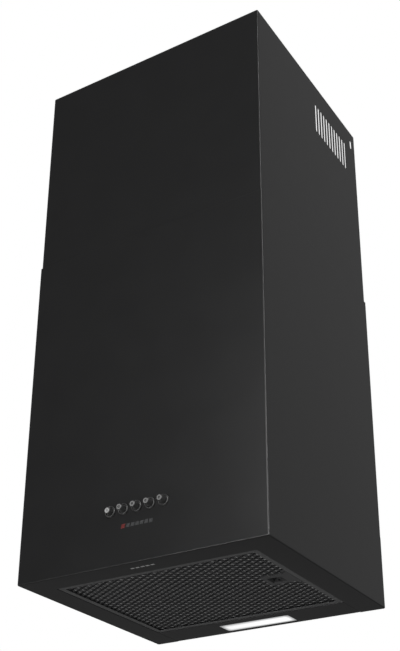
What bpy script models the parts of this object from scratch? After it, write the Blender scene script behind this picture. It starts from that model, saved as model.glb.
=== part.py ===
"""A wall-mounted box chimney hood, as an assembly of separate pieces.

Units are metres. +Z is up, +X is to the right as one faces the hood, and +Y points to the wall.
The pieces are modelled with the underside at height 0 and the wall at y = 0, under one empty that
hangs them so that the world's origin is on the back panel's wall face, at the line of its keyholes.
"""

import math

import bmesh
import bpy
from mathutils import Matrix, Vector

# Driving dimensions
WIDTH = 0.400
DEPTH = 0.360
CASING_HEIGHT = 0.525
VISIBLE_CHIMNEY = 0.345
CHIMNEY_OVERLAP = 0.120
HANG_HEIGHT = 0.330
SHEET = 0.0010
BEND_RADIUS = 0.0020
GAP = 0.0003

# Underside: a folded border, a lamp panel behind the filter, and the filter opening between them
BORDER = 0.0395
FILTER_WIDTH = 0.320
FILTER_DEPTH = 0.260
FILTER_THICKNESS = 0.009
FILTER_GAP = 0.0005
FILTER_FRONT = -DEPTH + BORDER + FILTER_GAP
FILTER_REAR = FILTER_FRONT + FILTER_DEPTH
FILTER_LIFT = 0.0006
FILTER_RIM = 0.008
FILTER_WALL = 0.0009

# Rear structure
RETURN_WIDTH = 0.015
RETURN_HEIGHT = 0.110
BACK_THICKNESS = 0.0012
BACK_TOP = 0.460
KEYHOLE_X = 0.120
SCREW_HEIGHTS = (0.025, 0.090)
SCREW_X = WIDTH / 2 - 0.0085

# Sliding chimney cover
CHIMNEY_SIDE_INSET = 0.0013
CHIMNEY_FRONT_INSET = 0.0013
CHIMNEY_REAR = -0.0035
CHIMNEY_SHEET = 0.0008
CHIMNEY_TOP = CASING_HEIGHT + VISIBLE_CHIMNEY
CHIMNEY_BOTTOM = CASING_HEIGHT - CHIMNEY_OVERLAP
VENT_COUNT = 12
VENT_PITCH = 0.0102
VENT_WIDTH = 0.0040
VENT_LENGTH = 0.0555
VENT_FIRST_Y = -0.1588
VENT_BELOW_TOP = 0.0692
FIXING_SLOT_Y = -0.0188
FIXING_SLOT_BELOW_TOP = 0.0272
FIXING_SLOT_LENGTH = 0.0165
FIXING_SLOT_WIDTH = 0.0055

# Lamp
LAMP_LENGTH = 0.119
LAMP_WIDTH = 0.0315
LAMP_Y = -0.0275
LAMP_PANEL_REAR = -0.0030

# Push buttons
BUTTON_HEIGHT = 0.079
BUTTON_PITCH = 0.0216
BUTTON_RADIUS = 0.0045
BUTTON_OUT = 0.0120
BUTTON_TRAVEL = 0.0040
LATCHED_IN = 0.0030
STEM_RADIUS = 0.0023
COLLAR_RADIUS = 0.0080
COLLAR_BARREL = 0.0064
COLLAR_RIM = 0.0014
COLLAR_OUT = 0.0030
COLLAR_FLOOR = 0.0009
BUTTON_NAMES = ("light", "stop", "speed_1", "speed_2", "speed_3")
SWITCH_FRONT = -DEPTH + 0.0085
SWITCH_REAR = -DEPTH + 0.0320
SWITCH_BORE = 0.0028
SWITCH_BORE_END = -DEPTH + 0.0290

# Blower, on an axis along X
FAN_Y = -0.182
FAN_Z = 0.238
FAN_HALF_WIDTH = 0.0700
SCROLL_START = 0.082
SCROLL_GROWTH = 0.034
SCROLL_WALL = 0.0020
NECK_TOP = FAN_Z + 0.135
NECK_FRONT = FAN_Y - 0.004
INLET_RADIUS = 0.058
ROTOR_OUTER = 0.0745
ROTOR_INNER = 0.0620
ROTOR_HALF = 0.0620
ROTOR_BLADES = 20
SHAFT_RADIUS = 0.0040
MOTOR_RADIUS = 0.0400

# Outlet collar and its two non-return flaps
COLLAR_TUBE = 0.0595
COLLAR_WALL = 0.0025
COLLAR_TOP = NECK_TOP + 0.048
FLAP_AXIS_Z = NECK_TOP + 0.022
FLAP_PIN_RADIUS = 0.0014

# Filter latch, a little forward of the filter's middle
LATCH_Y = FILTER_FRONT + 0.1220
LATCH_INNER_X = 0.1070
LATCH_RECESS = (0.1135, 0.1355)
LATCH_HALF = 0.0185
LATCH_FOOT = 0.0315
RECESS_HALF = 0.0100
SLIDER_INNER_X = 0.1285

PAINT_BLACK = ("black powder coat", (0.022, 0.022, 0.023), 0.45, 0.0)
FILTER_BLACK = ("black anodised aluminium", (0.035, 0.035, 0.036), 0.40, 0.6)
STEEL_ZINC = ("zinc-plated steel", (0.55, 0.56, 0.57), 0.35, 1.0)
STEEL_BRIGHT = ("ground steel", (0.62, 0.62, 0.63), 0.25, 1.0)
PLASTIC_BLACK = ("black plastic", (0.015, 0.015, 0.016), 0.35, 0.0)
PLASTIC_GREY = ("grey moulded plastic", (0.30, 0.31, 0.32), 0.50, 0.0)
PLASTIC_WHITE = ("white moulded plastic", (0.75, 0.75, 0.73), 0.45, 0.0)
LENS_WHITE = ("frosted lens", (0.92, 0.93, 0.95), 0.30, 0.0)
BOARD_WHITE = ("circuit board", (0.80, 0.82, 0.80), 0.40, 0.0)


def clear_scene():
    for obj in list(bpy.data.objects):
        bpy.data.objects.remove(obj)


def material(finish):
    name, colour, roughness, metallic = finish
    found = bpy.data.materials.get(name)
    if found:
        return found
    made = bpy.data.materials.new(name)
    made.use_nodes = True
    shader = made.node_tree.nodes["Principled BSDF"]
    shader.inputs["Base Color"].default_value = (*colour, 1.0)
    shader.inputs["Roughness"].default_value = roughness
    shader.inputs["Metallic"].default_value = metallic
    return made


def empty(name, location, parent=None):
    made = bpy.data.objects.new(name, None)
    made.location = location
    made.parent = parent
    bpy.context.scene.collection.objects.link(made)
    return made


def add(name, mesh, finish, group, location=(0, 0, 0), rotation=(0, 0, 0), smooth=0.0):
    """A node under the empty `group`, whose location is given in the hood's own coordinates."""
    if smooth:
        mesh.shade_smooth()
        mesh.set_sharp_from_angle(angle=math.radians(smooth))
    obj = bpy.data.objects.new(name, mesh)
    obj.parent = group
    obj.location = Vector(location) - group_origin(group)
    obj.rotation_euler = rotation
    if finish:
        mesh.materials.append(material(finish))
    bpy.context.scene.collection.objects.link(obj)
    return obj


def group_origin(group):
    """Where a group's empty is, measured from the underside's level at the wall."""
    origin = Vector(group.location)
    while group.parent is not None:
        group = group.parent
        origin = origin + group.location
    return origin - group.location


def mesh_from(name, bm):
    bmesh.ops.recalc_face_normals(bm, faces=bm.faces)
    mesh = bpy.data.meshes.new(name)
    bm.to_mesh(mesh)
    bm.free()
    return mesh


def box_mesh(name, low, high):
    """A box mesh about its own centre, and that centre."""
    low, high = Vector(low), Vector(high)
    bm = bmesh.new()
    bmesh.ops.create_cube(bm, size=1.0)
    bmesh.ops.scale(bm, vec=high - low, verts=bm.verts)
    return mesh_from(name, bm), (low + high) / 2


def box(name, low, high, finish, group, round_edges=0.0):
    mesh, centre = box_mesh(name, low, high)
    obj = add(name, mesh, finish, group, centre)
    if round_edges:
        bevel(obj, round_edges, 2)
    return obj


def bevel(obj, width, segments):
    modifier = obj.modifiers.new("rounded", "BEVEL")
    modifier.width = width
    modifier.segments = segments
    modifier.limit_method = "ANGLE"
    modifier.angle_limit = math.radians(30)
    modifier.harden_normals = False
    return obj


def helper(name, mesh, group, location, rotation=(0, 0, 0)):
    """A shape that only serves a Boolean, so it is never rendered or built."""
    obj = add(name, mesh, None, group, location, rotation)
    obj.hide_render = True
    obj.display_type = "WIRE"
    return obj


def boolean(obj, tool, operation="DIFFERENCE"):
    modifier = obj.modifiers.new(tool.name, "BOOLEAN")
    modifier.operation = operation
    modifier.object = tool
    modifier.solver = "EXACT"
    return obj


def cut_box(obj, low, high):
    mesh, centre = box_mesh(obj.name + "_cutter", low, high)
    return boolean(obj, helper(obj.name + "_cutter", mesh, obj.parent, centre))


def join_box(obj, low, high):
    mesh, centre = box_mesh(obj.name + "_addition", low, high)
    tool = helper(obj.name + "_addition", mesh, obj.parent, centre)
    return boolean(obj, tool, "UNION")


AXIS_TURNS = {
    "X": (0, math.pi / 2, 0),
    "Y": (-math.pi / 2, 0, 0),
    "-Y": (math.pi / 2, 0, 0),
    "Z": (0, 0, 0),
}


def rod_mesh(name, radius, length, segments):
    bm = bmesh.new()
    bmesh.ops.create_cone(
        bm, cap_ends=True, segments=segments, radius1=radius, radius2=radius, depth=length
    )
    return mesh_from(name, bm)


def cut_rod(obj, centre, axis, radius, length, segments=16):
    mesh = rod_mesh(obj.name + "_drill", radius, length, segments)
    tool = helper(obj.name + "_drill", mesh, obj.parent, centre, AXIS_TURNS[axis])
    return boolean(obj, tool)


def rod(name, centre, axis, radius, length, finish, group, segments=20):
    mesh = rod_mesh(name, radius, length, segments)
    return add(name, mesh, finish, group, centre, AXIS_TURNS[axis], smooth=40)


def turned(name, profile, axis, at, finish, group, segments=20, ring=False):
    """A profile of (radius, height) points spun about the axis. A ring's profile closes on itself."""
    bm = bmesh.new()
    verts = [bm.verts.new((radius, 0, height)) for radius, height in profile]
    pairs = list(zip(verts, verts[1:]))
    if ring:
        pairs.append((verts[-1], verts[0]))
    edges = [bm.edges.new(pair) for pair in pairs]
    bmesh.ops.spin(
        bm, geom=verts + edges, cent=(0, 0, 0), axis=(0, 0, 1), angle=math.tau, steps=segments
    )
    bmesh.ops.remove_doubles(bm, verts=bm.verts, dist=1e-5)
    return add(name, mesh_from(name, bm), finish, group, at, AXIS_TURNS[axis], smooth=40)


def folded_sheet(name, panels, thickness, finish, group, bend=0.0, smooth=0.0):
    """Sheet metal from flat panels that share their folds. Each panel's corners run anticlockwise
    as seen from the side that stays put, and the thickness goes to the other side."""
    bm = bmesh.new()
    corners = {}
    for panel in panels:
        ring = []
        for point in panel:
            key = tuple(round(c, 6) for c in point)
            if key not in corners:
                corners[key] = bm.verts.new(point)
            ring.append(corners[key])
        bm.faces.new(ring)
    mesh = bpy.data.meshes.new(name)
    bm.to_mesh(mesh)
    bm.free()
    obj = add(name, mesh, finish, group, smooth=smooth)
    if bend:
        bevel(obj, bend, 3)
    solidify = obj.modifiers.new("sheet", "SOLIDIFY")
    solidify.thickness = thickness
    solidify.offset = -1
    solidify.use_even_offset = True
    solidify.use_quality_normals = True
    return obj


def plate(name, outline, plane_x, thickness, finish, group):
    """A flat plate from an outline of (y, z) points, standing in the plane x = plane_x."""
    bm = bmesh.new()
    face = bm.faces.new([bm.verts.new((plane_x, y, z)) for y, z in outline])
    sides = bmesh.ops.extrude_face_region(bm, geom=[face])
    raised = [v for v in sides["geom"] if isinstance(v, bmesh.types.BMVert)]
    bmesh.ops.translate(bm, verts=raised, vec=(thickness, 0, 0))
    return add(name, mesh_from(name, bm), finish, group)


def coil_spring(name, start, end, radius, wire, turns, finish, group, steps=8, sides=4):
    """A closed tube along a helix whose axis runs from start to end."""
    start, end = Vector(start), Vector(end)
    axis = (end - start).normalized()
    side = axis.orthogonal().normalized()
    other = axis.cross(side)
    length = (end - start).length - 2 * wire
    bm = bmesh.new()
    rings = []
    for i in range(turns * steps + 1):
        angle = math.tau * i / steps
        out = side * math.cos(angle) + other * math.sin(angle)
        centre = start + axis * (wire + length * i / (turns * steps)) + out * radius
        ring = []
        for k in range(sides):
            turn = math.tau * (k + 0.5) / sides
            ring.append(bm.verts.new(centre + (out * math.cos(turn) + axis * math.sin(turn)) * wire))
        rings.append(ring)
    for here, there in zip(rings, rings[1:]):
        for k in range(sides):
            n = (k + 1) % sides
            bm.faces.new((here[k], here[n], there[n], there[k]))
    bm.faces.new(rings[0])
    bm.faces.new(rings[-1])
    return add(name, mesh_from(name, bm), finish, group, smooth=60)


def slot_mesh(name, width, length, through, arc_steps=5):
    """A straight slot with round ends, standing along Z and cutting along X."""
    bm = bmesh.new()
    radius = width / 2
    reach = length / 2 - radius
    outline = []
    for end in (1, -1):
        for i in range(arc_steps + 1):
            angle = math.pi * i / arc_steps
            outline.append((end * radius * math.cos(angle), end * (reach + radius * math.sin(angle))))
    face = bm.faces.new([bm.verts.new((-through / 2, y, z)) for y, z in outline])
    sides = bmesh.ops.extrude_face_region(bm, geom=[face])
    raised = [v for v in sides["geom"] if isinstance(v, bmesh.types.BMVert)]
    bmesh.ops.translate(bm, verts=raised, vec=(through, 0, 0))
    return mesh_from(name, bm)


def screw(name, at, axis, finish, group, shank=0.0030, head_radius=0.0036, head=0.0022):
    """A pan-head screw whose head stands on `at` and whose shank runs the other way."""
    profile = (
        (0, head),
        (head_radius * 0.55, head),
        (head_radius, head * 0.45),
        (head_radius, 0),
        (0.0017, 0),
        (0.0017, -shank),
        (0, -shank),
    )
    return turned(name, profile, axis, at, finish, group, segments=12)


def make_casing(group):
    """One folded sheet: front, sides, the border of the underside and two short rear returns."""
    w, d, h = WIDTH / 2, DEPTH, CASING_HEIGHT
    inner_x = FILTER_WIDTH / 2 + FILTER_GAP
    inner_y = -d + BORDER
    rear = -BACK_THICKNESS - GAP
    panels = [[(-w, -d, 0), (w, -d, 0), (w, -d, h), (-w, -d, h)]]
    panels.append([(-w, -d, 0), (-inner_x, inner_y, 0), (inner_x, inner_y, 0), (w, -d, 0)])
    for s in (1, -1):
        side = [
            [(s * w, -d, 0), (s * w, rear, 0), (s * w, rear, RETURN_HEIGHT),
             (s * w, rear, h), (s * w, -d, h)],
            [(s * w, -d, 0), (s * inner_x, inner_y, 0), (s * inner_x, rear, 0), (s * w, rear, 0)],
            [(s * w, rear, 0), (s * (w - RETURN_WIDTH), rear, 0),
             (s * (w - RETURN_WIDTH), rear, RETURN_HEIGHT), (s * w, rear, RETURN_HEIGHT)],
        ]
        panels += [p if s > 0 else p[::-1] for p in side]
    casing = folded_sheet("lower_casing", panels, SHEET, PAINT_BLACK, group, BEND_RADIUS)
    for x in button_places():
        cut_rod(casing, (x, -d, BUTTON_HEIGHT), "Y", COLLAR_BARREL + 0.0004, 0.010, 20)
    for s in (1, -1):
        for height in SCREW_HEIGHTS:
            cut_rod(casing, (s * SCREW_X, rear, height), "Y", 0.0020, 0.010, 12)
    return casing


def make_back_panel(group):
    """The flat sheet that lies on the wall, with keyholes to hang by and a stiffening top fold."""
    x, low, fold, inset = WIDTH / 2 - SHEET - 0.0005, 0.0016, 0.012, 0.010
    panel = box("back_panel", (-x, -BACK_THICKNESS, low), (x, 0, BACK_TOP), STEEL_ZINC, group)
    join_box(panel, (-x + inset, -fold, BACK_TOP - BACK_THICKNESS),
             (x - inset, -BACK_THICKNESS / 2, BACK_TOP))
    for s in (1, -1):
        cut_rod(panel, (s * KEYHOLE_X, 0, HANG_HEIGHT - 0.014), "Y", 0.0060, 0.012)
        cut_box(panel, (s * KEYHOLE_X - 0.003, -0.006, HANG_HEIGHT - 0.013),
                (s * KEYHOLE_X + 0.003, 0.006, HANG_HEIGHT + 0.003))
        cut_rod(panel, (s * 0.150, 0, 0.120), "Y", 0.0030, 0.012, 12)
        for height in SCREW_HEIGHTS:
            cut_rod(panel, (s * SCREW_X, 0, height), "Y", 0.0020, 0.012, 12)
    return panel


def make_back_screws(group):
    head_plane = -BACK_THICKNESS - GAP - SHEET - GAP
    side_names = ((-1, "left"), (1, "right"))
    for s, side in side_names:
        for height, level in zip(SCREW_HEIGHTS, ("lower", "upper")):
            screw(f"back_screw_{side}_{level}", (s * SCREW_X, head_plane, height), "-Y",
                  STEEL_ZINC, group, shank=0.0026)


def make_lamp_panel(group):
    """The strip behind the filter: folded up along the filter and along the wall."""
    x = FILTER_WIDTH / 2 + FILTER_GAP - GAP
    front, rear, fold, inset = FILTER_REAR + FILTER_GAP, LAMP_PANEL_REAR, 0.014, 0.004
    panel = box("lamp_panel", (-x, front, 0), (x, rear, SHEET), PAINT_BLACK, group)
    for near, far in ((front, front + SHEET), (rear - SHEET, rear)):
        join_box(panel, (-x + inset, near, SHEET / 2), (x - inset, far, fold))
    cut_box(panel, (-LAMP_LENGTH / 2 - GAP, LAMP_Y - LAMP_WIDTH / 2 - GAP, -0.005),
            (LAMP_LENGTH / 2 + GAP, LAMP_Y + LAMP_WIDTH / 2 + GAP, 0.005))
    return panel


def make_lamp(group):
    half_x, half_y = LAMP_LENGTH / 2, LAMP_WIDTH / 2
    flange = 0.0025
    lens = box("lamp_lens", (-half_x, LAMP_Y - half_y, 0.0004), (half_x, LAMP_Y + half_y, 0.0024),
               LENS_WHITE, group)
    join_box(lens, (-half_x - flange, LAMP_Y - half_y - flange, SHEET + GAP),
             (half_x + flange, LAMP_Y + half_y + flange, 0.0028))
    low = 0.0031
    housing = box("lamp_housing", (-half_x - flange, LAMP_Y - half_y - flange, low),
                  (half_x + flange, LAMP_Y + half_y + flange, 0.0130), PLASTIC_WHITE, group, 0.001)
    cut_box(housing, (-half_x + 0.001, LAMP_Y - half_y + 0.001, low - 0.002),
            (half_x - 0.001, LAMP_Y + half_y - 0.001, 0.0115))
    board = box("lamp_board", (-half_x + 0.003, LAMP_Y - 0.008, 0.0098),
                (half_x - 0.003, LAMP_Y + 0.008, 0.0112), BOARD_WHITE, group)
    diode_count = 6
    for i in range(diode_count):
        x = (i - (diode_count - 1) / 2) * 0.018
        join_box(board, (x - 0.0015, LAMP_Y - 0.0015, 0.0088), (x + 0.0015, LAMP_Y + 0.0015, 0.0102))
    box("lamp_driver", (0.096, -0.031, 0.030), (0.178, -0.0016, 0.054), PLASTIC_WHITE, group, 0.002)


def button_places():
    middle = (len(BUTTON_NAMES) - 1) / 2
    return [(i - middle) * BUTTON_PITCH for i in range(len(BUTTON_NAMES))]


def make_switch(group):
    half = 0.060
    body = box("switch_body", (-half, SWITCH_FRONT, BUTTON_HEIGHT - 0.012),
               (half, SWITCH_REAR, BUTTON_HEIGHT + 0.012), PLASTIC_BLACK, group, 0.001)
    middle = (SWITCH_FRONT - 0.002 + SWITCH_BORE_END) / 2
    depth = SWITCH_BORE_END - SWITCH_FRONT + 0.002
    for x in button_places():
        cut_rod(body, (x, middle, BUTTON_HEIGHT), "Y", SWITCH_BORE, depth, 12)
    front, rear = -DEPTH + SHEET + GAP, SWITCH_REAR + GAP
    x, tab, z = half + GAP, 0.012, 0.010
    low, high = BUTTON_HEIGHT - z, BUTTON_HEIGHT + z
    panels = [
        [(x, rear, low), (-x, rear, low), (-x, rear, high), (x, rear, high)],
        [(-x, rear, low), (-x, front, low), (-x, front, high), (-x, rear, high)],
        [(x, front, low), (x, rear, low), (x, rear, high), (x, front, high)],
        [(-x, front, low), (-x - tab, front, low), (-x - tab, front, high), (-x, front, high)],
        [(x + tab, front, low), (x, front, low), (x, front, high), (x + tab, front, high)],
    ]
    folded_sheet("switch_bracket", [p[::-1] for p in panels], SHEET, STEEL_ZINC, group)


def make_buttons(hood):
    """Each button is a cap and stem in one piece, in its own collar, on its own return spring."""
    collar_profile = (
        (BUTTON_RADIUS + GAP, COLLAR_FLOOR),
        (COLLAR_RADIUS - COLLAR_RIM, COLLAR_FLOOR),
        (COLLAR_RADIUS - COLLAR_RIM, COLLAR_OUT - 0.0004),
        (COLLAR_RADIUS - COLLAR_RIM + 0.0004, COLLAR_OUT),
        (COLLAR_RADIUS - 0.0005, COLLAR_OUT),
        (COLLAR_RADIUS, COLLAR_OUT - 0.0006),
        (COLLAR_RADIUS, GAP),
        (COLLAR_BARREL, GAP),
        (COLLAR_BARREL, -0.0078),
        (BUTTON_RADIUS + GAP, -0.0078),
    )
    for x, name in zip(button_places(), BUTTON_NAMES):
        at = (x, -DEPTH, BUTTON_HEIGHT)
        turned(f"{name}_collar", collar_profile, "-Y", at, PLASTIC_BLACK, hood, ring=True)
        pressed = LATCHED_IN if name == "light" else 0.0
        out = BUTTON_OUT - pressed
        cap_end = out - 0.0145
        stem_end = cap_end - 0.0130
        cap_profile = (
            (0, out - 0.0004),
            (BUTTON_RADIUS * 0.62, out - 0.0004),
            (BUTTON_RADIUS * 0.72, out),
            (BUTTON_RADIUS - 0.0006, out),
            (BUTTON_RADIUS, out - 0.0006),
            (BUTTON_RADIUS, cap_end),
            (STEM_RADIUS, cap_end),
            (STEM_RADIUS, stem_end),
            (0, stem_end),
        )
        slide = empty(f"{name}_button_slide", (x, -DEPTH, BUTTON_HEIGHT), hood)
        turned(f"{name}_button", cap_profile, "-Y", at, PLASTIC_BLACK, slide, segments=16)
        start = Vector(at) + Vector((0, -stem_end + GAP, 0))
        end = Vector((x, SWITCH_BORE_END - GAP, BUTTON_HEIGHT))
        coil_spring(f"{name}_spring", start, end, 0.0019, 0.00035, 4, STEEL_BRIGHT, hood)


def scroll_path(steps=30):
    """The blower's wall as (y, z) points: down the neck's front, round the scroll, up its rear."""
    turn = 1.5 * math.pi
    points = [(NECK_FRONT, NECK_TOP), (NECK_FRONT, FAN_Z + SCROLL_START + 0.010)]
    for i in range(steps + 1):
        angle = turn * i / steps
        radius = SCROLL_START + SCROLL_GROWTH * i / steps
        points.append((FAN_Y - radius * math.sin(angle) * 1.0, FAN_Z + radius * math.cos(angle)))
    points[2] = (NECK_FRONT, FAN_Z + SCROLL_START)
    rear = points[-1][0]
    points.append((rear, NECK_TOP))
    return points


def make_blower(group):
    path = scroll_path()
    half = FAN_HALF_WIDTH
    strips = []
    for (y0, z0), (y1, z1) in zip(path, path[1:]):
        strips.append([(-half, y0, z0), (-half, y1, z1), (half, y1, z1), (half, y0, z0)])
    folded_sheet("blower_wrap", [s[::-1] for s in strips], SCROLL_WALL, PLASTIC_GREY, group, smooth=30)
    for s, side in ((-1, "left"), (1, "right")):
        inner = s * (half + GAP)
        cheek = plate(f"blower_side_{side}", path, inner, s * SCROLL_WALL, PLASTIC_GREY, group)
        cut_rod(cheek, (inner, FAN_Y, FAN_Z), "X", INLET_RADIUS, 0.02, 32)


def make_cradle(group):
    """A steel bracket on the back panel whose two arms carry the blower's sides."""
    x, thickness = FAN_HALF_WIDTH + GAP + SCROLL_WALL + GAP, 0.0015
    wall, reach = -BACK_THICKNESS - GAP - thickness, -0.115
    low, high = FAN_Z - 0.090, FAN_Z + 0.090
    arm_low, arm_high = FAN_Z + 0.065, FAN_Z + 0.088
    panels = [
        [(-x, wall, low), (x, wall, low), (x, wall, arm_low), (x, wall, arm_high),
         (x, wall, high), (-x, wall, high), (-x, wall, arm_high), (-x, wall, arm_low)],
    ]
    for s in (1, -1):
        arm = [(s * x, wall, arm_low), (s * x, reach, arm_low), (s * x, reach, arm_high),
               (s * x, wall, arm_high)]
        panels.append(arm if s > 0 else arm[::-1])
    cradle = folded_sheet("blower_cradle", panels, thickness, STEEL_ZINC, group)
    for s in (1, -1):
        for height in (low + 0.015, high - 0.015):
            cut_rod(cradle, (s * 0.050, wall, height), "Y", 0.0022, 0.012, 12)
    return cradle


def make_motor(group):
    inner = 0.0080
    end = FAN_HALF_WIDTH + SCROLL_WALL + 2 * GAP
    bore = SHAFT_RADIUS + GAP
    profile = (
        (bore, inner),
        (0.012, inner),
        (0.012, inner + 0.006),
        (MOTOR_RADIUS - 0.004, inner + 0.006),
        (MOTOR_RADIUS, inner + 0.010),
        (MOTOR_RADIUS, end - 0.004),
        (MOTOR_RADIUS - 0.004, end),
        (bore, end),
    )
    turned("motor_body", profile, "X", (0, FAN_Y, FAN_Z), STEEL_ZINC, group, 24, ring=True)
    spider = plate("motor_spider", spider_outline(), end + GAP, 0.0020, STEEL_ZINC, group)
    return cut_rod(spider, (end, FAN_Y, FAN_Z), "X", 0.0100, 0.02)


def spider_outline(arms=3, hub=0.030, reach=0.074, half_arm=0.007):
    """Three arms from the motor's end to the rim of the inlet, as (y, z) points."""
    points = []
    for i in range(arms):
        middle = math.tau * i / arms + math.pi / 6
        spread = math.asin(half_arm / hub)
        tip = math.asin(half_arm / reach)
        following = middle + math.pi / arms
        for radius, angle in ((hub, middle - spread), (reach, middle - tip),
                              (reach, middle + tip), (hub, middle + spread), (hub, following)):
            points.append((FAN_Y + radius * math.cos(angle), FAN_Z + radius * math.sin(angle)))
    return points


def make_rotor(group):
    """The double-inlet wheel, in one piece: end rings, skewed blades, a middle plate and its hub."""
    skew, blade_share = 0.16, 0.18
    edges = []
    for i in range(ROTOR_BLADES):
        start = math.tau * i / ROTOR_BLADES
        edges += [start, start + blade_share * math.tau / ROTOR_BLADES]
    levels = (-ROTOR_HALF, -ROTOR_HALF + 0.003, -0.0015, 0.0015, ROTOR_HALF - 0.003, ROTOR_HALF)
    hub_radius, bore, hub_left = 0.012, SHAFT_RADIUS + GAP, -0.012
    bm = bmesh.new()

    def ring(radius, level, shift=0.0):
        return [
            bm.verts.new((level, radius * math.cos(a + shift), radius * math.sin(a + shift)))
            for a in edges
        ]

    outer = [ring(ROTOR_OUTER, level, skew) for level in levels]
    inner = [ring(ROTOR_INNER, level) for level in levels]
    hub = [ring(hub_radius, level) for level in (hub_left, levels[2], levels[3])]
    hole = [ring(bore, level) for level in (hub_left, levels[3])]
    count = len(edges)

    def band(a, b, chosen=range(count)):
        for i in chosen:
            n = (i + 1) % count
            bm.faces.new((a[i], a[n], b[n], b[i]))

    gaps, blades = range(1, count, 2), range(0, count, 2)
    for side in (0, 4):
        band(outer[side], outer[side + 1])
        band(inner[side], inner[side + 1])
    band(outer[2], outer[3])
    band(outer[0], inner[0])
    band(outer[5], inner[5])
    for level in (1, 2, 3, 4):
        band(outer[level], inner[level], gaps)
    for near, far in ((1, 2), (3, 4)):
        band(outer[near], outer[far], blades)
        band(inner[near], inner[far], blades)
        for i in range(count):
            bm.faces.new((outer[near][i], outer[far][i], inner[far][i], inner[near][i]))
    band(inner[2], hub[1])
    band(inner[3], hub[2])
    band(hub[0], hub[1])
    band(hub[0], hole[0])
    band(hole[0], hole[1])
    band(hole[1], hub[2])
    centre = (0, FAN_Y, FAN_Z)
    add("impeller", mesh_from("impeller", bm), PLASTIC_BLACK, group, centre, smooth=30)
    rod("motor_shaft", (0.0250, FAN_Y, FAN_Z), "X", SHAFT_RADIUS, 0.098, STEEL_BRIGHT, group, 16)
    nut_bore = 0.0052
    nut_profile = ((nut_bore, -0.0195), (0.0085, -0.0195), (0.0085, -0.0125), (nut_bore, -0.0125))
    turned("impeller_nut", nut_profile, "X", centre, STEEL_ZINC, group, 6, ring=True)


def make_collar(group):
    """A moulded adapter from the blower's neck to a round duct, with a pin for its two flaps."""
    middle_y = (scroll_path()[-1][0] + NECK_FRONT) / 2
    half_y = (scroll_path()[-1][0] - NECK_FRONT) / 2 + 0.004
    low = NECK_TOP + GAP
    bore = COLLAR_TUBE - COLLAR_WALL
    collar = box("outlet_collar", (-FAN_HALF_WIDTH - 0.004, middle_y - half_y, low),
                 (FAN_HALF_WIDTH + 0.004, middle_y + half_y, low + 0.003), PLASTIC_BLACK, group)
    tube = rod_mesh("collar_tube", COLLAR_TUBE, COLLAR_TOP - low - 0.001, 40)
    where = (0, middle_y, (COLLAR_TOP + low + 0.001) / 2)
    boolean(collar, helper("collar_tube", tube, group, where), "UNION")
    cut_rod(collar, (0, middle_y, NECK_TOP + 0.02), "Z", bore, 0.12, 40)
    cut_rod(collar, (0, middle_y, FLAP_AXIS_Z), "X", FLAP_PIN_RADIUS + GAP, 0.16, 12)
    rod("flap_pin", (0, middle_y, FLAP_AXIS_Z), "X", FLAP_PIN_RADIUS, 2 * COLLAR_TUBE,
        STEEL_BRIGHT, group, 12)
    return middle_y


def make_flap(name, sign, middle_y, group):
    """A half disc on one side of the pin, with a stiffening rib below."""
    radius, thickness, steps = COLLAR_TUBE - COLLAR_WALL - 0.001, 0.0016, 14
    clear = FLAP_PIN_RADIUS + GAP
    reach = math.asin(clear / radius)
    bm = bmesh.new()
    ring = []
    for i in range(steps + 1):
        angle = reach + (math.pi - 2 * reach) * i / steps
        ring.append(bm.verts.new((radius * math.cos(angle), sign * radius * math.sin(angle), 0)))
    face = bm.faces.new(ring)
    raised = bmesh.ops.extrude_face_region(bm, geom=[face])["geom"]
    verts = [v for v in raised if isinstance(v, bmesh.types.BMVert)]
    bmesh.ops.translate(bm, verts=verts, vec=(0, 0, thickness))
    flap = add(name, mesh_from(name, bm), PLASTIC_BLACK, group,
               (0, middle_y, FLAP_AXIS_Z - thickness))
    near, far = sorted((sign * 0.008 + middle_y, sign * 0.046 + middle_y))
    return join_box(flap, (-0.001, near, FLAP_AXIS_Z - 0.005), (0.001, far, FLAP_AXIS_Z - 0.001))


def make_electrics(group):
    wall = -BACK_THICKNESS - GAP - GAP
    low, high = Vector((-0.184, -0.048, 0.150)), Vector((-0.104, wall, 0.225))
    terminal = box("terminal_box", low, high, PLASTIC_GREY, group, 0.0015)
    cut_box(terminal, (low.x + 0.002, low.y - 0.01, low.z + 0.002),
            (high.x - 0.002, high.y - 0.002, high.z - 0.002))
    gland_at = ((low.x + high.x) / 2, -0.024, high.z)
    cut_rod(terminal, gland_at, "Z", 0.0065, 0.012, 16)
    box("terminal_cover", (low.x, low.y - GAP - 0.002, low.z), (high.x, low.y - GAP, high.z),
        PLASTIC_GREY, group, 0.0008)
    gland = ((0.0040, 0.016), (0.0060, 0.016), (0.0078, 0.011), (0.0078, 0.005), (0.0100, 0.005),
             (0.0100, GAP), (0.0062, GAP), (0.0062, -0.006), (0.0040, -0.006))
    turned("cable_gland", gland, "Z", gland_at, PLASTIC_BLACK, group, 16, ring=True)
    can = ((0, -0.030), (0.014, -0.030), (0.015, -0.028), (0.015, 0.028), (0.014, 0.030),
           (0, 0.030))
    turned("motor_capacitor", can, "Z", (0.130, -0.0180, 0.190), PLASTIC_WHITE, group, 20)


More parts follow.
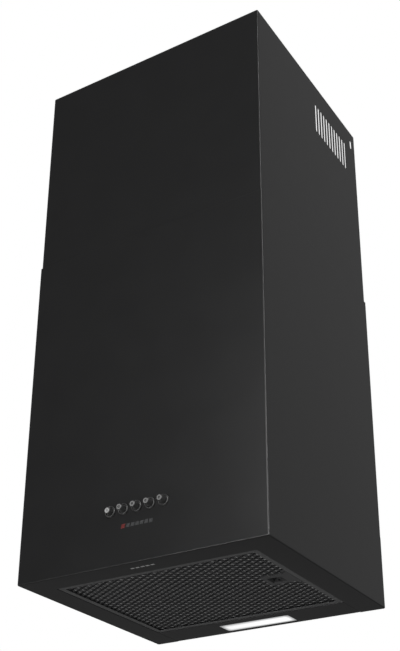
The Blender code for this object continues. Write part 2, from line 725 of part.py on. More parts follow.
def make_chimney(group):
    """The sliding cover: three sides of folded sheet, vented near its top and open to the wall."""
    x = WIDTH / 2 - CHIMNEY_SIDE_INSET
    front, low, high = -DEPTH + CHIMNEY_FRONT_INSET, CHIMNEY_BOTTOM, CHIMNEY_TOP
    rear = CHIMNEY_REAR
    panels = [
        [(-x, front, low), (x, front, low), (x, front, high), (-x, front, high)],
        [(x, front, low), (x, rear, low), (x, rear, high), (x, front, high)],
        [(-x, rear, low), (-x, front, low), (-x, front, high), (-x, rear, high)],
    ]
    cover = folded_sheet("upper_chimney", panels, CHIMNEY_SHEET, PAINT_BLACK, group, BEND_RADIUS)
    for i in range(VENT_COUNT):
        mesh = slot_mesh("vent_cutter", VENT_WIDTH, VENT_LENGTH, WIDTH + 0.02)
        y = VENT_FIRST_Y + i * VENT_PITCH
        boolean(cover, helper("vent_cutter", mesh, group, (0, y, high - VENT_BELOW_TOP)))
    mesh = slot_mesh("fixing_cutter", FIXING_SLOT_WIDTH, FIXING_SLOT_LENGTH, WIDTH + 0.02)
    at = (0, FIXING_SLOT_Y, high - FIXING_SLOT_BELOW_TOP)
    return boolean(cover, helper("fixing_cutter", mesh, group, at))


def make_filter(group):
    """The grease filter's channel frame, with two hook tabs on the left, and its mesh layers."""
    half, low = FILTER_WIDTH / 2, FILTER_LIFT
    high = low + FILTER_THICKNESS
    front, rear, wall, rim = FILTER_FRONT, FILTER_REAR, FILTER_WALL, FILTER_RIM
    frame = box("filter_frame", (-half, front, low), (half, rear, high), FILTER_BLACK, group)
    cut_box(frame, (-half + rim, front + rim, low - 0.01), (half - rim, rear - rim, high + 0.01))
    cut_box(frame, (-half + wall, front + wall, low + wall), (half - wall, rear - wall, high - wall))
    for y in (front + 0.055, rear - 0.055):
        join_box(frame, (-half - 0.008, y - 0.010, 0.0022), (-half + 0.0006, y + 0.010, 0.0034))
    cut_box(frame, (half - 0.003, LATCH_Y - 0.0078, low + 0.0011),
            (half + 0.003, LATCH_Y + 0.0078, low + 0.0058))
    inner, outer = wall + GAP, LATCH_HALF + GAP
    names = ("outer", "middle", "inner")
    for i, name in enumerate(names):
        z = low + 0.0021 + 0.0023 * i
        layer = box(f"filter_mesh_{name}", (-half + inner, front + inner, z - 0.0003),
                    (half - inner, rear - inner, z + 0.0003), FILTER_BLACK, group)
        cut_box(layer, (LATCH_INNER_X - GAP, LATCH_Y - outer, z - 0.01),
                (half + 0.01, LATCH_Y + outer, z + 0.01))


def make_latch_housing(group):
    """A moulded cup with a finger recess, open at its far end for the slider."""
    low, y = FILTER_LIFT, LATCH_Y
    end = FILTER_WIDTH / 2 - FILTER_RIM - 0.0005
    housing = box("latch_housing", (LATCH_INNER_X, y - LATCH_HALF, low + 0.0001),
                  (end, y + LATCH_HALF, low + 0.0085), PLASTIC_BLACK, group)
    cut_box(housing, (LATCH_RECESS[0], y - RECESS_HALF, low - 0.01),
            (LATCH_RECESS[1], y + RECESS_HALF, low + 0.0072))
    join_box(housing, (end - 0.0060, y - LATCH_FOOT, low + 0.0001), (end, y + LATCH_FOOT, low + 0.0014))
    return cut_box(housing, (0.1215, y - 0.0165, low + 0.0023), (end + 0.01, y + 0.0165, low + 0.02))


def make_latch(filter_group, latch_group):
    """The slider with its tongue and finger lip, and the two springs that push it outwards."""
    low, y, inner = FILTER_LIFT, LATCH_Y, SLIDER_INNER_X
    slider = box("latch_slider", (inner, y - 0.0095, low + 0.0026),
                 (0.1500, y + 0.0095, low + 0.0062), PLASTIC_BLACK, latch_group)
    join_box(slider, (inner, y - 0.0092, low + 0.0008), (inner + 0.0060, y + 0.0092, low + 0.0040))
    join_box(slider, (0.1460, y - 0.0155, low + 0.0030), (0.1500, y + 0.0155, low + 0.0058))
    join_box(slider, (0.1490, y - 0.0070, low + 0.0028),
             (FILTER_WIDTH / 2 + 0.0002, y + 0.0070, low + 0.0050))
    for s, name in ((-1, "front"), (1, "rear")):
        where = (y + s * 0.0128, low + 0.0046)
        coil_spring(f"latch_spring_{name}", (0.1218, *where), (0.1457, *where), 0.0014, 0.00025, 6,
                    STEEL_BRIGHT, filter_group)


def main():
    clear_scene()
    hood = empty("hood", (0, 0, -HANG_HEIGHT))
    make_casing(hood)
    make_back_panel(hood)
    make_back_screws(hood)
    make_lamp_panel(hood)
    make_lamp(hood)
    make_switch(hood)
    make_buttons(hood)
    make_blower(hood)
    make_cradle(hood)
    make_motor(hood)
    make_rotor(empty("rotor_axis", (0, FAN_Y, FAN_Z), hood))
    middle_y = make_collar(hood)
    for name, sign in (("flap_front", -1), ("flap_rear", 1)):
        make_flap(name, sign, middle_y, empty(name + "_hinge", (0, middle_y, FLAP_AXIS_Z), hood))
    make_electrics(hood)
    chimney = empty("chimney_slide", (0, 0, CHIMNEY_BOTTOM), hood)
    make_chimney(chimney)
    filter_hinge = empty("filter_hinge", (-FILTER_WIDTH / 2, LATCH_Y, FILTER_LIFT), hood)
    make_filter(filter_hinge)
    make_latch_housing(filter_hinge)
    make_latch(filter_hinge, empty("latch_slide", (0.15, 0, 0), filter_hinge))


main()
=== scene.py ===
"""The looks of a wall-mounted box chimney hood, built on its CAD frame.

The file is laid out as an add-on and run as a script. Each operator dresses or makes one group of
pieces; main() calls them in order. Lengths are metres, in the frame's own coordinates: +X to the
right as one faces the hood, +Y into the wall, +Z up.
"""

import math

import bmesh
import bpy
from bpy.props import FloatProperty, FloatVectorProperty, PointerProperty
from mathutils import Matrix, Vector


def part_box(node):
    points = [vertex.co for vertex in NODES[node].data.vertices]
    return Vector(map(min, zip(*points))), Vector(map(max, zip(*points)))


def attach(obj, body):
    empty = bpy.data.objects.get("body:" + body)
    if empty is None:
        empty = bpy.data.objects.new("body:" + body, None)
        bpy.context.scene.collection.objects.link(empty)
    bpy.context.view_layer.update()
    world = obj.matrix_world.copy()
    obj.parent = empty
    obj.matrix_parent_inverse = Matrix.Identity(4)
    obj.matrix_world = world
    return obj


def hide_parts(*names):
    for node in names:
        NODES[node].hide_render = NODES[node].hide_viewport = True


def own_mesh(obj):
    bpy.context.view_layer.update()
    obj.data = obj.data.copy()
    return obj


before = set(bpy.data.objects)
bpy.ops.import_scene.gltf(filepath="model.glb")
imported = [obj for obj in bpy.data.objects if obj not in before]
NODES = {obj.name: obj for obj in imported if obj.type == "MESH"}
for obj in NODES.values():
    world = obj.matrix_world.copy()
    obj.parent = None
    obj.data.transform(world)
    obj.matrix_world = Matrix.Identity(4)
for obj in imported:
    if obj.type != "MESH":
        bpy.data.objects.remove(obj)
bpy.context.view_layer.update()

bl_info = {
    "name": "Box Chimney Hood",
    "version": (1, 0, 0),
    "blender": (4, 5, 0),
    "location": "View3D > Sidebar > Hood",
    "description": "Finishes, fine pieces, lights and camera for a wall-mounted box hood",
    "category": "Object",
}

BUTTONS = ("light", "stop", "speed_1", "speed_2", "speed_3")
CASING_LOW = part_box("lower_casing")[0]
FILTER_LOW, FILTER_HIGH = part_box("filter_frame")
SMOOTH_ANGLE = math.radians(38.0)  # edges of a CAD mesh that are steeper stay sharp
WELD = 0.000002  # vertices of a CAD mesh closer than this are one
PRINT_GAP = 0.00005  # printed pieces stand this far off a sheet, so that no faces coincide
PRINT_SINK = 0.00005  # a button's ring starts this far behind the rim of the tip
SIGN_SINK = 0.0004  # and its sign this far, in the tip's hollow
BADGE_LEAN = 0.0012  # how far the badge's blocks lean to the right over their height

DIAMOND_WIDTH = 0.852  # half a mesh diamond's width, for a pitch of 1
KNUCKLE_REACH = 0.24  # share of a strand's length over which it slopes to a knuckle
KNUCKLE_OPENING = (0.80, 0.72)  # how much narrower the opening is at the sides, at front and rear
STRAND_THICKNESS = 0.0004
NOTCH_SPARE = 0.0003  # room that the mesh leaves beside the latch's housing
NOTCH_HALF = 0.0188

LENS_INSET = 0.0025  # from the lamp housing's outside to the lens
LENS_REAR_ZONE = 0.0095
DIODE_PITCH = 0.018

BUTTON_TRAVEL = 0.004
LIGHT_TRAVEL = 0.003  # the light button is latched in, so less of its way is left
LATCH_TRAVEL = 0.005

CAMERA_FORWARD = Vector((-0.47373, 0.76785, 0.43127))
CAMERA_RIGHT = Vector((0.85241, 0.52285, 0.00544))
CAMERA_SHIFT = (0.0020, 0.1597)
SENSOR_WIDTH = 36.0
FLOOR_REACH = 20.0


# ---------------------------------------------------------------------------------------------
# Shader building


class Value:
    """A number that varies over a surface. Arithmetic on it adds Math nodes."""

    def __init__(self, nodes, socket):
        self.nodes, self.socket = nodes, socket

    def __add__(self, other):
        return self.nodes.math("ADD", self, other)

    def __radd__(self, other):
        return self.nodes.math("ADD", other, self)

    def __sub__(self, other):
        return self.nodes.math("SUBTRACT", self, other)

    def __rsub__(self, other):
        return self.nodes.math("SUBTRACT", other, self)

    def __mul__(self, other):
        return self.nodes.math("MULTIPLY", self, other)

    def __rmul__(self, other):
        return self.nodes.math("MULTIPLY", other, self)

    def __truediv__(self, other):
        return self.nodes.math("DIVIDE", self, other)

    def __rtruediv__(self, other):
        return self.nodes.math("DIVIDE", other, self)

    def size(self):
        """The number without its sign."""
        return self.nodes.math("ABSOLUTE", self)

    def remainder(self):
        """The part after the decimal point."""
        return self.nodes.math("FRACT", self)

    def clamped(self):
        """The number, held between 0 and 1."""
        return self.nodes.math("ADD", self, 0.0, clamp=True)


class Nodes:
    """Adds nodes to one tree. Its coordinates are the object's own."""

    coordinates = "Object"

    def __init__(self, tree):
        self.tree = tree
        self.place = None

    def put(self, socket, value):
        """Links a varying input, or sets a fixed one."""
        if isinstance(value, Value):
            value = value.socket
        if isinstance(value, bpy.types.NodeSocket):
            self.tree.links.new(value, socket)
        elif socket.type == "RGBA" and len(value) == 3:
            socket.default_value = (*value, 1.0)
        else:
            socket.default_value = value

    def node(self, kind, settings=None, values=None, output=0):
        """A node of this kind: its settings first, then its inputs' values or links. Inputs and
        the output that is returned go by name, or by number where names repeat."""
        made = self.tree.nodes.new(kind)
        for key, setting in (settings or {}).items():
            setattr(made, key, setting)
        for key, value in (values or {}).items():
            if isinstance(key, int):
                self.put(made.inputs[key], value)
            else:
                self.put(next(s for s in made.inputs if s.enabled and s.name == key), value)
        if not made.outputs:
            return None
        shown = [s for s in made.outputs if s.enabled]
        found = shown[output] if isinstance(output, int) else made.outputs[output]
        return Value(self, found) if found.type == "VALUE" else found

    def where(self):
        """The surface's own coordinates, in metres."""
        if self.place is None:
            self.place = self.node("ShaderNodeTexCoord", output=self.coordinates)
        return self.place

    def along(self, axis):
        """One of the surface's coordinates: X, Y or Z."""
        return self.node("ShaderNodeSeparateXYZ", {}, {"Vector": self.where()}, axis)

    def math(self, operation, *operands, clamp=False):
        return self.node("ShaderNodeMath", {"operation": operation, "use_clamp": clamp},
                         dict(enumerate(operands)))

    def noise(self, grain, detail, stretch=None):
        """Noise from 0 to 1 whose features are about `grain` metres across."""
        place = self.stretched(stretch) if stretch else self.where()
        values = {"Vector": place, "Scale": 1.0 / grain, "Detail": detail, "Roughness": 0.55}
        return self.node("ShaderNodeTexNoise", {}, values)

    def stretched(self, factors):
        """Coordinates multiplied by a factor for each axis: below 1 draws a texture out."""
        return self.node("ShaderNodeVectorMath", {"operation": "MULTIPLY"},
                         {0: self.where(), 1: factors})

    def step(self, value, low, high):
        """0 below low, 1 above high, smooth between."""
        return self.node("ShaderNodeMapRange", {"interpolation_type": "SMOOTHSTEP"},
                         {"Value": value, "From Min": low, "From Max": high})

    def mix(self, first, second, factor):
        """A colour between two."""
        return self.node("ShaderNodeMix", {"data_type": "RGBA"},
                         {"Factor": factor, "A": first, "B": second})


class Surroundings(Nodes):
    """The nodes of a world, whose coordinates are directions."""

    coordinates = "Generated"


class Finish(Nodes):
    """A node material around one Principled shader."""

    def __init__(self, name):
        self.material = bpy.data.materials.new(name)
        self.material.use_nodes = True
        super().__init__(self.material.node_tree)
        self.shader = self.tree.nodes["Principled BSDF"]

    def bump(self, height, depth, strength):
        """Makes a height from 0 to 1 stand `depth` metres out of the surface."""
        normal = self.node("ShaderNodeBump", {},
                           {"Height": height, "Distance": depth, "Strength": strength})
        self.put(self.shader.inputs["Normal"], normal)

    def set(self, **values):
        """Feeds the shader's inputs, and gives the finish back."""
        names = {"colour": "Base Color", "roughness": "Roughness", "metallic": "Metallic",
                 "glow": "Emission Color", "glow_strength": "Emission Strength"}
        for key, value in values.items():
            self.put(self.shader.inputs[names[key]], value)
        return self


# ---------------------------------------------------------------------------------------------
# Finishes


def powder_coat(paint):
    """Satin black powder coat: fine orange peel, a little cloudiness in the gloss."""
    made = Finish("powder_coat")
    peel = made.noise(paint.peel, 1.0)
    grit = made.noise(paint.peel * 0.16, 2.0)
    cloud = made.noise(0.060, 3.0)
    light = [c * 1.25 for c in paint.colour]
    colour = made.mix(tuple(paint.colour), tuple(light), cloud * 0.7 + grit * 0.3)
    made.bump(peel * 0.7 + grit * 0.3, 0.000025, 0.5)
    return made.set(colour=colour, roughness=paint.roughness - 0.03 + cloud * 0.06)


def zinc_plate():
    """Zinc on sheet steel, with a faint spangle."""
    made = Finish("zinc_plate")
    spangle = made.noise(0.006, 3.0)
    haze = made.noise(0.045, 2.0)
    colour = made.mix((0.36, 0.37, 0.38), (0.56, 0.57, 0.58), spangle * 0.6 + haze * 0.4)
    made.bump(spangle, 0.00002, 0.4)
    return made.set(colour=colour, roughness=0.26 + haze * 0.18, metallic=1.0)


def ground_steel(name, stretch):
    """Steel with fine grinding lines across the given stretch of coordinates."""
    made = Finish(name)
    lines = made.noise(0.0012, 2.0, stretch)
    colour = made.mix((0.45, 0.45, 0.46), (0.68, 0.68, 0.69), lines)
    made.bump(lines, 0.00001, 0.4)
    return made.set(colour=colour, roughness=0.2 + lines * 0.15, metallic=1.0)


def moulded(name, colour, roughness, grain=0.0007, depth=0.00003):
    """Moulded plastic with a spark-eroded texture."""
    made = Finish(name)
    skin = made.noise(grain, 2.0)
    flow = made.noise(0.03, 2.0)
    lighter = tuple(min(1.0, c * 1.18 + 0.002) for c in colour)
    made.bump(skin, depth, 0.5)
    tint = made.mix(colour, lighter, flow * 0.6 + skin * 0.4)
    return made.set(colour=tint, roughness=roughness - 0.04 + flow * 0.08)


def anodised_rim(filter_settings):
    """Black anodised channel: lengthwise drawing lines, and a dark mitre at each corner."""
    made = Finish("anodised_rim")
    x, y = made.along("X"), made.along("Y")
    middle = (FILTER_LOW.y + FILTER_HIGH.y) / 2
    from_side = FILTER_HIGH.x - x.size()
    from_end = (FILTER_HIGH.y - middle) - (y - middle).size()
    mitre = 1 - made.step((from_side - from_end).size(), 0.0001, 0.0004)
    drawn = made.noise(0.0015, 2.0, (1.0, 0.06, 1.0))
    haze = made.noise(0.03, 2.0)
    colour = made.mix(tuple(filter_settings.rim_colour),
                      tuple(c * 1.35 for c in filter_settings.rim_colour), drawn * 0.5 + haze * 0.5)
    seamed = made.mix(colour, (0.004, 0.004, 0.004), mitre * 0.8)
    made.bump(drawn - mitre, 0.00003, 0.5)
    return made.set(colour=seamed, roughness=0.36 + haze * 0.10, metallic=0.75)


def anodised_strands(name, plane, rise, filter_settings, painted_light_lift):
    """Expanded mesh: black strands whose raised knuckles carry a painted highlight, a lighter
    colour in place of the light they reflect. The inner layers get painted light: their colours are
    lifted against the shade that the outer layer casts on them."""
    made = Finish(name)
    raised = made.step(plane - made.along("Z"), rise * 0.25, rise * 0.85)
    mottle = made.noise(0.004, 2.0)
    # Painted light: the lift brightens the inner layers' colours to make up for the shade that the
    # outer layer casts on them.
    dark = tuple(c * painted_light_lift for c in filter_settings.strand_colour)
    # Painted highlight: the knuckles get a lighter colour in place of the light they reflect.
    light = tuple(min(0.5, c * painted_light_lift) for c in filter_settings.knuckle_highlight_colour)
    colour = made.mix(dark, light, (raised * (0.75 + mottle * 0.5)).clamped())
    made.bump(made.noise(0.0008, 2.0), 0.00003, 0.5)
    return made.set(colour=colour, roughness=0.5 - raised * 0.08 + mottle * 0.06, metallic=0.35)


def lit_lens(lamp):
    """Frosted cover over the diodes: full brightness inside, dimmer end zones and front edge."""
    made = Finish("lit_lens")
    lens_low, lens_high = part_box("lamp_housing")
    x, y = made.along("X"), made.along("Y")
    reach = lens_high.x - LENS_INSET - lamp.end_zone
    inside = 1 - made.step(x.size(), reach - 0.001, reach + 0.009)
    front = made.step(y, lens_low.y + 0.001, lens_low.y + LENS_INSET + lamp.edge_zone)
    rear_edge = lens_high.y - LENS_INSET
    rear = 1 - made.step(y, rear_edge - LENS_REAR_ZONE, rear_edge)
    along = made.step(x, lens_low.x, lens_high.x - 0.03)
    frost = made.noise(0.0015, 2.0)
    lit = (inside * 0.78 + 0.22) * (front * 0.85 + 0.15) * (rear * 0.7 + 0.3) * (along * 0.2 + 0.8)
    glow = made.mix((0.05, 0.05, 0.052), (1.0, 1.0, 1.0), (lit * (0.94 + frost * 0.06)).clamped())
    made.bump(frost, 0.00003, 0.4)
    return made.set(colour=(0.22, 0.222, 0.228), roughness=0.38 + frost * 0.06, glow=glow,
                    glow_strength=lamp.brightness)


def printed(name, colour, roughness):
    """Pad-printed ink, slightly uneven."""
    made = Finish(name)
    ink = made.noise(0.0012, 2.0)
    tint = made.mix(tuple(c * 0.88 for c in colour), colour, ink)
    made.bump(ink, 0.00001, 0.3)
    return made.set(colour=tint, roughness=roughness + ink * 0.05)


def circuit_board():
    """White solder mask with a row of yellow diode faces and tinned pads."""
    made = Finish("circuit_board")
    low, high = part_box("lamp_board")
    x, y = made.along("X"), made.along("Y")
    along = ((x / DIODE_PITCH).remainder() - 0.5).size() * DIODE_PITCH
    across = (y - (low.y + high.y) / 2).size()
    diode = (1 - made.step(along, 0.0010, 0.0014)) * (1 - made.step(across, 0.0010, 0.0014))
    pad = (1 - made.step(along, 0.0024, 0.0027)) * (1 - made.step(across, 0.0018, 0.0021))
    mottle = made.noise(0.004, 2.0)
    mask = made.mix((0.66, 0.68, 0.66), (0.78, 0.80, 0.78), mottle)
    tinned = made.mix(mask, (0.55, 0.55, 0.52), pad * 0.8)
    colour = made.mix(tinned, (0.85, 0.62, 0.10), diode)
    return made.set(colour=colour, roughness=0.35 + mottle * 0.1)


# ---------------------------------------------------------------------------------------------
# Pieces


def tidy_group():
    """A modifier group that welds a CAD mesh and shades it smooth but for its steep edges."""
    group = bpy.data.node_groups.get("tidy")
    if group:
        return group
    group = bpy.data.node_groups.new("tidy", "GeometryNodeTree")
    for side in ("INPUT", "OUTPUT"):
        group.interface.new_socket("Geometry", in_out=side, socket_type="NodeSocketGeometry")
    made = Nodes(group)
    plain = made.node("GeometryNodeRemoveAttribute", {},
                      {"Geometry": made.node("NodeGroupInput"), "Name": "custom_normal"})
    welded = made.node("GeometryNodeMergeByDistance", {}, {"Geometry": plain, "Distance": WELD})
    smooth = made.node("GeometryNodeSetShadeSmooth", {"domain": "FACE"}, {"Geometry": welded})
    steep = made.node("FunctionNodeCompare", {"operation": "GREATER_THAN"},
                      {"A": made.node("GeometryNodeInputMeshEdgeAngle"), "B": SMOOTH_ANGLE})
    sharp = made.node("GeometryNodeSetShadeSmooth", {"domain": "EDGE"},
                      {"Geometry": smooth, "Selection": steep, "Shade Smooth": False})
    made.node("NodeGroupOutput", {}, {"Geometry": sharp})
    return group


def dress(names, finish, rounding):
    """Gives CAD nodes their finish, and rounds and shades their edges without touching the mesh."""
    for name in names:
        node = NODES[name]
        node.data.materials.clear()
        node.data.materials.append(finish.material)
        tidy = node.modifiers.new("tidy", "NODES")
        tidy.node_group = tidy_group()
        round_edges(node, rounding)


def round_edges(piece, width):
    """Rounds a piece's steep edges by this width."""
    bevel = piece.modifiers.new("rounded", "BEVEL")
    bevel.width, bevel.segments = width, 2
    bevel.limit_method, bevel.angle_limit = "ANGLE", SMOOTH_ANGLE
    bevel.use_clamp_overlap = True
    weighted = piece.modifiers.new("even", "WEIGHTED_NORMAL")
    weighted.keep_sharp = False


def piece_from(name, bm, finish, body, smooth=40.0):
    """A new piece from a bmesh in frame coordinates, riding on a body."""
    bmesh.ops.recalc_face_normals(bm, faces=bm.faces)
    mesh = bpy.data.meshes.new(name)
    bm.to_mesh(mesh)
    bm.free()
    mesh.shade_smooth()
    mesh.set_sharp_from_angle(angle=math.radians(smooth))
    mesh.materials.append(finish.material)
    made = bpy.data.objects.new(name, mesh)
    bpy.context.scene.collection.objects.link(made)
    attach(made, body)
    return made


def prism(bm, outline, normal, depth):
    """Extrudes a closed outline of points by `depth` along a normal. The faces are made one by
    one, because Blender's own extrusion orders them differently from run to run."""
    shift = Vector(normal) * depth
    foot = [bm.verts.new(p) for p in outline]
    top = [bm.verts.new(Vector(p) + shift) for p in outline]
    bm.faces.new(foot)
    bm.faces.new(top)
    for i in range(len(outline)):
        n = (i + 1) % len(outline)
        bm.faces.new((foot[i], foot[n], top[n], top[i]))


def plate_below(bm, left, right, front, rear, plane, depth):
    """A flat plate that hangs `depth` below a plane."""
    prism(bm, [(left, front, plane), (right, front, plane), (right, rear, plane),
               (left, rear, plane)], (0, 0, -1), depth)


def badge_block(bm, left, right, middle, half, front, depth):
    """A leaning block of the badge, which stands `depth` in front of the plane `front`."""
    low, high = middle - half, middle + half
    prism(bm, [(left, front, low), (right, front, low), (right + BADGE_LEAN, front, high),
               (left + BADGE_LEAN, front, high)], (0, -1, 0), depth)


def cut(bm, point, normal, away=False):
    """Cuts along a plane. With `away`, what lies on the side its normal points to is removed."""
    geometry = bm.verts[:] + bm.edges[:] + bm.faces[:]
    bmesh.ops.bisect_plane(bm, geom=geometry, plane_co=point, plane_no=normal, clear_outer=away)


def strand_cell(bm, centre, half, openness, rise, plane):
    """One diamond of expanded metal: a ring from its outer edge to its opening. The four corners
    are knuckles, which stand `rise` below the plane; the strands between stay in it."""
    cx, cy = centre
    outer, inner = [], []
    corners = [(1, 0), (0, 1), (-1, 0), (0, -1)]
    for i, (u, v) in enumerate(corners):
        nu, nv = corners[(i + 1) % 4]
        for share in (0.0, KNUCKLE_REACH, 1 - KNUCKLE_REACH):
            knuckle = share == 0.0
            a, b = u + (nu - u) * share, v + (nv - v) * share
            outer.append((cx + a * half[0], cy + b * half[1], plane - (rise if knuckle else 0.0)))
            narrow = KNUCKLE_OPENING[0 if u else 1] if knuckle else 1.0
            pull, lift = openness * narrow, rise * 0.55 if knuckle else 0.0
            inner.append((cx + a * half[0] * pull, cy + b * half[1] * pull, plane - lift))
    rings = [[bm.verts.new(p) for p in ring] for ring in (outer, inner)]
    for i in range(len(outer)):
        n = (i + 1) % len(outer)
        bm.faces.new((rings[0][i], rings[0][n], rings[1][n], rings[1][i]))


def expanded_sheet(name, node, pitch, openness, rise, offset, finish, notch):
    """Expanded metal that fills a flat CAD sheet's outline, less a notch at its right side for the
    latch, given as the notch's left, front and rear."""
    low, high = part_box(node)
    plane = low.z + rise
    half = (pitch * DIAMOND_WIDTH, pitch / 2)
    bm = bmesh.new()
    columns = int((high.x - low.x) / half[0]) + 3
    rows = int((high.y - low.y) / pitch) + 3
    for i in range(columns):
        for j in range(rows):
            x = low.x + (i - 0.5) * half[0] + offset[0]
            y = low.y + (j - 0.5) * pitch + (half[1] if i % 2 else 0.0) + offset[1]
            strand_cell(bm, (x, y), half, openness, rise, plane)
    bmesh.ops.remove_doubles(bm, verts=bm.verts, dist=0.00002)
    cut(bm, (low.x, 0, 0), (-1, 0, 0), away=True)
    cut(bm, (high.x, 0, 0), (1, 0, 0), away=True)
    cut(bm, (0, low.y, 0), (0, -1, 0), away=True)
    cut(bm, (0, high.y, 0), (0, 1, 0), away=True)
    left, front, rear = notch
    cut(bm, (left, 0, 0), (1, 0, 0))
    cut(bm, (0, front, 0), (0, 1, 0))
    cut(bm, (0, rear, 0), (0, 1, 0))
    inside = [f for f in bm.faces if f.calc_center_median().x > left
              and front < f.calc_center_median().y < rear]
    bmesh.ops.delete(bm, geom=inside, context="FACES")
    for face in bm.faces:
        if face.normal.z > 0:
            face.normal_flip()
    mesh_piece = piece_from(name, bm, finish, "filter", 60)
    solid = mesh_piece.modifiers.new("sheet", "SOLIDIFY")
    solid.thickness, solid.offset = STRAND_THICKNESS, -1.0
    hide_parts(node)
    return mesh_piece


def coil(bm, start, end, radius, wire, turns, steps=16, sides=8):
    """A round wire wound along a helix whose axis runs from start to end."""
    axis = (end - start).normalized()
    side = axis.orthogonal().normalized()
    other = axis.cross(side)
    length = (end - start).length - 2 * wire
    rings = []
    for i in range(turns * steps + 1):
        angle = math.tau * i / steps
        out = side * math.cos(angle) + other * math.sin(angle)
        centre = start + axis * (wire + length * i / (turns * steps)) + out * radius
        rings.append([bm.verts.new(centre + (out * math.cos(t) + axis * math.sin(t)) * wire)
                      for t in (math.tau * k / sides for k in range(sides))])
    for here, there in zip(rings, rings[1:]):
        for k in range(sides):
            n = (k + 1) % sides
            bm.faces.new((here[k], here[n], there[n], there[k]))
    bm.faces.new(rings[0])
    bm.faces.new(rings[-1])


def ring_on_tip(bm, centre, inner, outer, depth, segments=36):
    """A flat printed ring that stands `depth` in front of a button's tip."""
    cx, y, cz = centre
    rings = []
    turn = [(math.cos(math.tau * i / segments), math.sin(math.tau * i / segments))
            for i in range(segments)]
    for radius, front in ((inner, 0), (inner, depth), (outer, depth), (outer, 0)):
        rings.append([bm.verts.new((cx + radius * c, y - front, cz + radius * s)) for c, s in turn])
    for k in range(4):
        here, there = rings[k], rings[(k + 1) % 4]
        for i in range(segments):
            n = (i + 1) % segments
            bm.faces.new((here[i], here[n], there[n], there[i]))


def flat_bar(bm, low, high, y, depth, radius=0.0003, steps=3):
    """A bar with rounded corners that stands `depth` in front of the plane y, from low to high."""
    points = []
    for sx, sz, start in ((1, 1, 0), (-1, 1, 90), (-1, -1, 180), (1, -1, 270)):
        cx = (high[0] - radius) if sx > 0 else (low[0] + radius)
        cz = (high[1] - radius) if sz > 0 else (low[1] + radius)
        for i in range(steps + 1):
            a = math.radians(start + 90 * i / steps)
            points.append((cx + radius * math.cos(a), y, cz + radius * math.sin(a)))
    prism(bm, points, (0, -1, 0), depth)


def button_sign(bm, name, centre, reach, depth):
    """The small generic sign in the middle of a tip: a lamp, a square, or one to three bars."""
    cx, y, cz = centre
    if name == "light":
        ring_on_tip(bm, centre, reach * 0.28, reach * 0.50, depth, 18)
        for i in range(6):
            a = math.tau * i / 6
            mid = (cx + reach * 0.78 * math.cos(a), cz + reach * 0.78 * math.sin(a))
            flat_bar(bm, (mid[0] - reach * 0.12, mid[1] - reach * 0.12),
                     (mid[0] + reach * 0.12, mid[1] + reach * 0.12), y, depth, 0.00003)
    elif name == "stop":
        flat_bar(bm, (cx - reach * 0.5, cz - reach * 0.5), (cx + reach * 0.5, cz + reach * 0.5), y,
                 depth, 0.0001)
    else:
        count = int(name[-1])
        for i in range(count):
            x = cx + (i - (count - 1) / 2) * reach * 0.55
            flat_bar(bm, (x - reach * 0.16, cz - reach * 0.6), (x + reach * 0.16, cz + reach * 0.6),
                     y, depth, 0.00005)


def dome(bm, centre, radius, height, segments=20, rings=4):
    """A shallow rivet head that stands down from its centre."""
    layers = []
    for k in range(rings):
        a = math.radians(90 * k / rings)
        r, drop = radius * math.cos(a), height * math.sin(a)
        layers.append([bm.verts.new(centre + Vector((r * math.cos(t), r * math.sin(t), -drop)))
                       for t in (math.tau * i / segments for i in range(segments))])
    top = bm.verts.new(centre - Vector((0, 0, height)))
    for here, there in zip(layers, layers[1:]):
        for i in range(segments):
            n = (i + 1) % segments
            bm.faces.new((here[i], here[n], there[n], there[i]))
    for i in range(segments):
        bm.faces.new((layers[-1][i], layers[-1][(i + 1) % segments], top))
    bm.faces.new(layers[0])


def softbox(name, where, aim, size, power):
    """A rectangular light of this width and height in metres, aimed at a point."""
    light = bpy.data.lights.new(name, "AREA")
    light.shape = "RECTANGLE"
    light.size, light.size_y = size
    light.energy = power
    made = bpy.data.objects.new(name, light)
    made.location = where
    made.rotation_euler = (Vector(aim) - Vector(where)).to_track_quat("-Z", "Y").to_euler()
    made.visible_camera = False
    bpy.context.scene.collection.objects.link(made)


# ---------------------------------------------------------------------------------------------
# Settings


class HoodPaint(bpy.types.PropertyGroup):
    colour: FloatVectorProperty(name="Coat colour", description="Colour of the powder coat",
                                default=(0.0092, 0.0092, 0.0094), subtype="COLOR", min=0, max=1)
    roughness: FloatProperty(name="Roughness", description="Roughness of the powder coat",
                             default=0.30, min=0, max=1, subtype="FACTOR")
    peel: FloatProperty(name="Orange peel", description="Size of the coat's orange peel",
                        default=0.0022, unit="LENGTH")
    edge: FloatProperty(name="Edge rounding", description="Rounding of the cut sheet's edges",
                        default=0.0004, unit="LENGTH")


class HoodFilter(bpy.types.PropertyGroup):
    pitch: FloatProperty(name="Mesh pitch", description="Distance between knuckles of the mesh",
                         default=0.01075, unit="LENGTH")
    rise: FloatProperty(name="Knuckle rise", description="How far the knuckles stand out",
                        default=0.0006, unit="LENGTH")
    openness: FloatProperty(name="Openness", description="Share of each diamond that is open",
                            default=0.55, min=0.1, max=0.95, subtype="FACTOR")
    rim_colour: FloatVectorProperty(name="Rim colour", description="Colour of the filter's frame",
                                    default=(0.13, 0.13, 0.132), subtype="COLOR", min=0, max=1)
    strand_colour: FloatVectorProperty(name="Strand colour", description="Colour of the strands",
                                       default=(0.021, 0.021, 0.022), subtype="COLOR", min=0, max=1)
    # Painted highlight: a lighter colour on the knuckles that stands in for their reflection.
    knuckle_highlight_colour: FloatVectorProperty(name="Knuckle colour",
                                        description="Colour of the rubbed knuckles",
                                        default=(0.25, 0.25, 0.253), subtype="COLOR", min=0, max=1)


